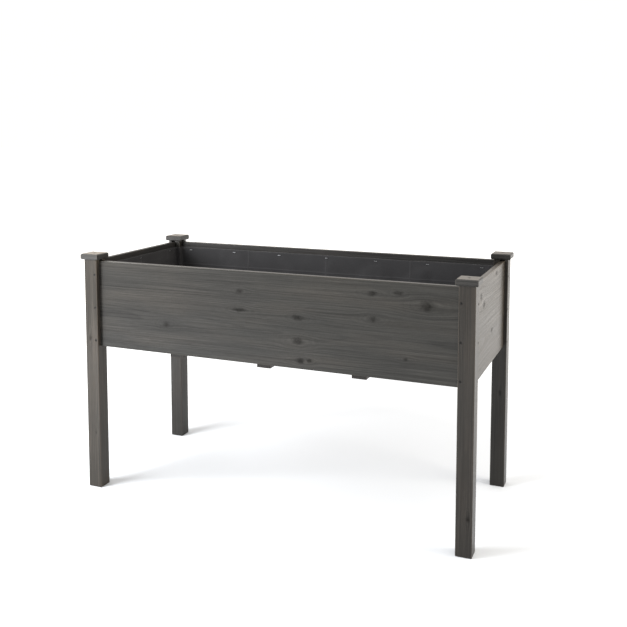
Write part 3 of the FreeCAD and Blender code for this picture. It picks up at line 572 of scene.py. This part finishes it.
# %% An open box with notched corners
def open_box(half_x, half_y, post_x, post_y, bottom, top, cell):
    """An open box of quads that look inward, with its corners notched round the posts."""
    def lines(half, at_post):
        steps = round(2 * at_post / cell)
        between = [at_post * (2 * k / steps - 1) for k in range(steps + 1)]
        halfway = (half + at_post) / 2
        return [-half, -halfway] + between + [halfway, half]

    xs, ys = lines(half_x, post_x), lines(half_y, post_y)
    mesh = bmesh.new()
    grid = [[mesh.verts.new((x, y, bottom)) for y in ys] for x in xs]
    for i in range(len(xs) - 1):
        for j in range(len(ys) - 1):
            in_notch = (i < 2 or i > len(xs) - 4) and (j < 2 or j > len(ys) - 4)
            if not in_notch:
                mesh.faces.new((grid[i][j], grid[i + 1][j], grid[i + 1][j + 1], grid[i][j + 1]))
    bare = [vert for vert in mesh.verts if not vert.link_faces]
    bmesh.ops.delete(mesh, geom=bare, context="VERTS")

    # The rows of the walls are added one by one, always in the same order, so that every run
    # numbers the points alike: the cloth solver's sums depend on that order.
    rows = round((top - bottom) / cell)
    rim = [edge for edge in mesh.edges if edge.is_boundary]
    for row in range(rows):
        rim_loops = [edge.link_loops[0] for edge in rim]
        corners = [(loop.vert, loop.link_loop_next.vert) for loop in rim_loops]
        above = {}
        for one, other in corners:
            above.setdefault(one, None)
            above.setdefault(other, None)
        for vert in above:
            above[vert] = mesh.verts.new(vert.co + Vector((0, 0, (top - bottom) / rows)))
        for one, other in corners:
            mesh.faces.new((other, one, above[one], above[other]))
        rim = [mesh.edges.get((above[one], above[other])) for one, other in corners]
    mesh.normal_update()
    return mesh


def to_object(name, mesh):
    """Turns a finished bmesh into an object of the scene."""
    data = bpy.data.meshes.new(name)
    mesh.to_mesh(data)
    mesh.free()
    made = bpy.data.objects.new(name, data)
    bpy.context.collection.objects.link(made)
    return made


# %% [markdown]
# ## Let the fabric settle
# A perfectly flat sheet doesn't know which way to buckle, so every point first gets a tiny
# push inward from smooth noise, which is the same on each run. A negative shrink makes the
# fabric grow. The staples hold it, and so do the floor and the corners where it lies against
# the posts. No collision object is needed: points that buckle outward are set back to the
# board's face afterwards, which is where the board would have stopped them.

# %% The sheet before it settles
GROWTH = 0.006
PIN_REACH = 7 * MM
AT_FLOOR = 2 * MM
AT_POST = 4 * MM
FRAMES = 30
PUSH = 0.6 * MM
PUSHES_PER_METRE = 14

loose = open_box(space_high.x - STAPLE_GAP, space_high.y - STAPLE_GAP,
                 post.x - STAPLE_GAP - POST_GAP, post.y - STAPLE_GAP - POST_GAP,
                 ground + FABRIC, space_high.z, CELL)
for vert in loose.verts:
    push = PUSH * (1 + noise.noise(vert.co * PUSHES_PER_METRE))
    vert.co += vert.normal * push
lining = to_object("lining_cloth", loose)
print("a loose sheet of", len(lining.data.vertices), "points")

# %% Where it is held
staple_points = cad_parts["liner_staples"].data.vertices
staples = kdtree.KDTree(len(staple_points))
for point in staple_points:
    staples.insert(point.co, point.index)
staples.balance()
pins = lining.vertex_groups.new(name="pins")
held = 0
for vert in lining.data.vertices:
    at_staple = staples.find(vert.co)[2] < PIN_REACH
    on_floor = vert.co.z < ground + AT_FLOOR
    in_corner = abs(vert.co.x) > post.x - AT_POST and abs(vert.co.y) > post.y - AT_POST
    if at_staple or on_floor or in_corner:
        pins.add([vert.index], 1, "ADD")
        held += 1
print("held at", held, "points")

# %% Simulate
cloth = lining.modifiers.new("cloth", "CLOTH")
cloth.settings.quality = 6
cloth.settings.mass = 0.02
cloth.settings.tension_stiffness = 10
cloth.settings.compression_stiffness = 10
cloth.settings.shear_stiffness = 4
cloth.settings.bending_stiffness = 2
cloth.settings.air_damping = 3
cloth.settings.shrink_min = -GROWTH
cloth.settings.vertex_group_mass = "pins"
cloth.collision_settings.use_collision = False
cloth.point_cache.frame_end = FRAMES
for number in range(1, FRAMES + 1):
    bpy.context.scene.frame_set(number)
settled = lining.evaluated_get(bpy.context.evaluated_depsgraph_get()).to_mesh()
fabric = bmesh.new()
fabric.from_mesh(settled)
lining.modifiers.clear()
lining.vertex_groups.clear()
bpy.context.scene.frame_set(1)

# %% Set back against the boards
against_boards = (space_high.x - STAPLE_GAP, space_high.y - STAPLE_GAP)
for vert in fabric.verts:
    for side in (0, 1):
        vert.co[side] = math.copysign(min(abs(vert.co[side]), against_boards[side]), vert.co[side])
    vert.co.z = max(vert.co.z, ground + FABRIC)
print("settled", len(fabric.verts), "points of fabric")

# %% [markdown]
# ## Folds of the lining
# At each corner the surplus is folded into a triangle behind the end wall, and its edge shows
# as a slanting ridge. Along the rim the sheet is turned over backwards by a finger's width,
# so a raw edge never shows: a copy of the top rows goes behind, joined along the rim.

# %% Corner folds
FOLD_REACH = 190 * MM
FOLD_STEP = 1.2 * MM
FOLD_EASE = 14 * MM
PAST_POST = 5 * MM
HEM = 24 * MM


def smooth_step(value):
    """0 below 0, 1 above 1, and an even curve between."""
    value = min(1, max(0, value))
    return value * value * (3 - 2 * value)


for vert in fabric.verts:
    if abs(vert.co.x) < post.x + PAST_POST:
        continue
    away = (post.y - abs(vert.co.y)) / FOLD_REACH
    height = (vert.co.z - ground) / (space_high.z - ground)
    inside = smooth_step((height - away) * FOLD_REACH / FOLD_EASE)
    below_rim = smooth_step((space_high.z - vert.co.z - HEM) / CELL)
    vert.co.x -= math.copysign(FOLD_STEP * inside * below_rim, vert.co.x)
print("folds reach", round(FOLD_REACH, 3), "m from the posts at the rim")

# %% Turned rim
HEM_GAP = 1.0 * MM

fabric.normal_update()
top_rows = [face for face in fabric.faces if face.calc_center_median().z > space_high.z - HEM]
rim = [edge for edge in fabric.edges if edge.is_boundary]
copied = bmesh.ops.duplicate(fabric, geom=top_rows)
twin = copied["vert_map"]
behind = {part for part in copied["geom"] if isinstance(part, bmesh.types.BMVert)}
backward = {vert: -vert.normal.copy() for vert in behind}
for vert in behind:
    vert.co += backward[vert] * HEM_GAP
for edge in rim:
    one, other = edge.verts
    fabric.faces.new((one, other, twin[other], twin[one]))
bmesh.ops.recalc_face_normals(fabric, faces=fabric.faces)
fabric.to_mesh(lining.data)
fabric.free()
lining.data.polygons.foreach_set("use_smooth", [True] * len(lining.data.polygons))
print("turned", len(top_rows), "quads over at the rim")


# %% Rounding
def with_modifier(piece, kind, **settings):
    """The piece's mesh after one modifier."""
    modifier = piece.modifiers.new(kind.lower(), kind)
    for setting, value in settings.items():
        setattr(modifier, setting, value)
    evaluated = piece.evaluated_get(bpy.context.evaluated_depsgraph_get())
    mesh = bpy.data.meshes.new_from_object(evaluated)
    piece.modifiers.clear()
    return mesh


lining.data = with_modifier(lining, "SUBSURF", levels=1)
print("lining of", len(lining.data.polygons), "faces")

# %% [markdown]
# ## Where the staples bite
# A staple is driven until its crown dents the cloth. So round each crown the sheet is drawn
# back to just behind the crown, and only then given its thickness. How far it has to go is
# measured with a ray from inside the box, so the cloth and its turned rim move together.

# %% Dents and thickness
CROWN_BACK = 2 * MM
CROWN_REACH = 6 * MM
DENT_REACH = 20 * MM
FROM_INSIDE = 60 * MM

skin = bvhtree.BVHTree.FromPolygons([vert.co.copy() for vert in lining.data.vertices],
                                    [face.vertices for face in lining.data.polygons])
dented = 0
for vert in lining.data.vertices:
    crown, _, gap = staples.find(vert.co)
    pull = 1 - smooth_step((gap - CROWN_REACH) / (DENT_REACH - CROWN_REACH))
    if pull == 0:
        continue
    side = 0 if abs(crown.x) > post.x else 1
    outward = Vector((0, 0, 0))
    outward[side] = math.copysign(1, crown[side])
    met = skin.ray_cast(vert.co - outward * FROM_INSIDE, outward)[0]
    behind_crown = space_high[side] - CROWN_BACK + FABRIC / 2 + PLAY
    if met:
        vert.co += outward * pull * max(0, behind_crown - abs(met[side]))
        dented += 1
lining.data = with_modifier(lining, "SOLIDIFY", thickness=FABRIC, offset=0)
print("drew in", dented, "points round the staples")

# %% [markdown]
# ## Black spunbond fabric
# Spunbond polypropylene is a mat of melted threads, pressed between hot rollers that leave a
# lattice of bond points. It is matt, with a faint sheen where threads catch the light, and it
# keeps the creases of the packet it came folded in. The real bond points are 1.5 mm apart;
# they are drawn at 3 mm so that they show.

# %% Fabric finish
BOND_MM = 3.0
FIBRE_MM = 0.9
PATCHES_PER_METRE = 12
CREASE_MM = 300
CREASE_WIDTH = 0.012

spunbond, tree, shader = new_material("black_spunbond_polypropylene")
place = add(tree, "TexCoord").outputs["Object"]
waves = add(tree, "VectorMath", {0: place, "Scale": 2 * math.pi / (BOND_MM * MM)},
            operation="SCALE").outputs[0]
waves = add(tree, "VectorMath", {0: waves}, operation="SINE").outputs[0]
bonds = add(tree, "VectorMath", {0: waves, 1: (1, 1, 1)}, operation="DOT_PRODUCT").outputs["Value"]
fibres = add(tree, "TexNoise", {"Vector": place, "Scale": 1 / (FIBRE_MM * MM), "Detail": 3,
                                "Roughness": 0.7}).outputs["Fac"]
patches = add(tree, "TexNoise", {"Vector": place, "Scale": PATCHES_PER_METRE,
                                 "Detail": 4}).outputs["Fac"]
print("bond points", BOND_MM, "mm apart")

# %% Creases of the packet
CREASE_START = (0.5, 0.5, 0.31)
creased = add(tree, "VectorMath", {0: place, "Scale": 1 / (CREASE_MM * MM)}, operation="SCALE").outputs[0]
creased = add(tree, "VectorMath", {0: creased, 1: CREASE_START}, operation="ADD").outputs[0]
creased = add(tree, "VectorMath", {0: creased}, operation="FRACTION").outputs[0]
creased = add(tree, "VectorMath", {0: creased, 1: (0.5, 0.5, 0.5)}, operation="SUBTRACT").outputs[0]
creased = add(tree, "VectorMath", {0: creased}, operation="ABSOLUTE").outputs[0]
ways = add(tree, "SeparateXYZ", {0: creased}).outputs
nearest_crease = add(tree, "Math", {0: ways[0], 1: ways[1]}, operation="MINIMUM").outputs[0]
nearest_crease = add(tree, "Math", {0: nearest_crease, 1: ways[2]}, operation="MINIMUM").outputs[0]
ridge = add(tree, "MapRange", {"Value": nearest_crease, "From Min": 0, "From Max": CREASE_WIDTH,
                               "To Min": 1, "To Max": 0}).outputs[0]
print("creases", CREASE_MM, "mm apart")

# %% Colour and relief of the fabric
mixed = add(tree, "Mix", {0: patches, 6: linear("18181a"), 7: linear("262628")},
            data_type="RGBA").outputs[2]
speckle = add(tree, "MapRange", {"Value": fibres, "From Min": 0.3, "From Max": 0.7, "To Min": 0.75,
                                 "To Max": 1.25}).outputs[0]
mixed = add(tree, "VectorMath", {0: mixed, "Scale": speckle}, operation="SCALE").outputs[0]
paler = add(tree, "Math", {0: ridge, 1: 0.3}, operation="MULTIPLY").outputs[0]
mixed = add(tree, "Mix", {0: paler, 6: mixed, 7: linear("343436")}, data_type="RGBA").outputs[2]
roughness = add(tree, "MapRange", {"Value": fibres, "To Min": 0.95, "To Max": 0.7}).outputs[0]
relief = add(tree, "Math", {0: bonds, 1: 0.25, 2: fibres}, operation="MULTIPLY_ADD").outputs[0]
fine_bump = add(tree, "Bump", {"Height": relief, "Strength": 0.5, "Distance": 0.15 * MM}).outputs[0]
bump = add(tree, "Bump", {"Height": ridge, "Strength": 0.8, "Distance": 0.8 * MM,
                          "Normal": fine_bump}).outputs[0]
shader.inputs["Specular IOR Level"].default_value = 0.25
shader.inputs["Sheen Weight"].default_value = 0.08
shader.inputs["Sheen Roughness"].default_value = 0.5
tree.links.new(mixed, shader.inputs["Base Color"])
tree.links.new(roughness, shader.inputs["Roughness"])
tree.links.new(bump, shader.inputs["Normal"])
lining.data.materials.clear()
lining.data.materials.append(spunbond)
print("dressed the lining")

# %% [markdown]
# ## What the lining is
# It lies on the slatted floor and rides with the planter. It was cut from one rectangle: the
# inside of the box, plus the walls' height on all four sides, plus the turned rim.

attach(lining, "root")
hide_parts("liner")

# %% [markdown]
# ## Floor of the studio
# Product tables are sheets of matt white acrylic. This one also glows, with painted light:
# weak beside the planter and stronger towards its edges, so that shadows stay faint, the
# table's end can't be seen, and nothing but the planter has a colour.

# %% Studio floor
floor_mesh = bpy.data.meshes.new("studio_floor")
REACH = 40
floor_mesh.from_pydata([(-REACH, -REACH, 0), (REACH, -REACH, 0), (REACH, REACH, 0),
                        (-REACH, REACH, 0)], [], [(0, 1, 2, 3)])
studio_floor = bpy.data.objects.new("studio_floor", floor_mesh)
bpy.context.collection.objects.link(studio_floor)
glowing_acrylic, acrylic_tree, acrylic_shader = new_material("matt_white_acrylic")
from_middle = add(acrylic_tree, "VectorMath", {0: add(acrylic_tree, "TexCoord").outputs["Object"]},
                  operation="LENGTH").outputs["Value"]
# Painted light: the floor gives off light of its own, weak near the planter and strong further away.
painted_glow = add(acrylic_tree, "MapRange", {"Value": from_middle, "From Min": 0.8, "From Max": 3,
                                      "To Min": 0.05, "To Max": 0.8}).outputs[0]
acrylic_shader.inputs["Base Color"].default_value = linear("c6cacf")
acrylic_shader.inputs["Roughness"].default_value = 0.9
acrylic_shader.inputs["Emission Color"].default_value = (1, 0.94, 0.86, 1)
acrylic_tree.links.new(painted_glow, acrylic_shader.inputs["Emission Strength"])
floor_mesh.materials.append(glowing_acrylic)
print("studio floor", 2 * REACH, "m across")
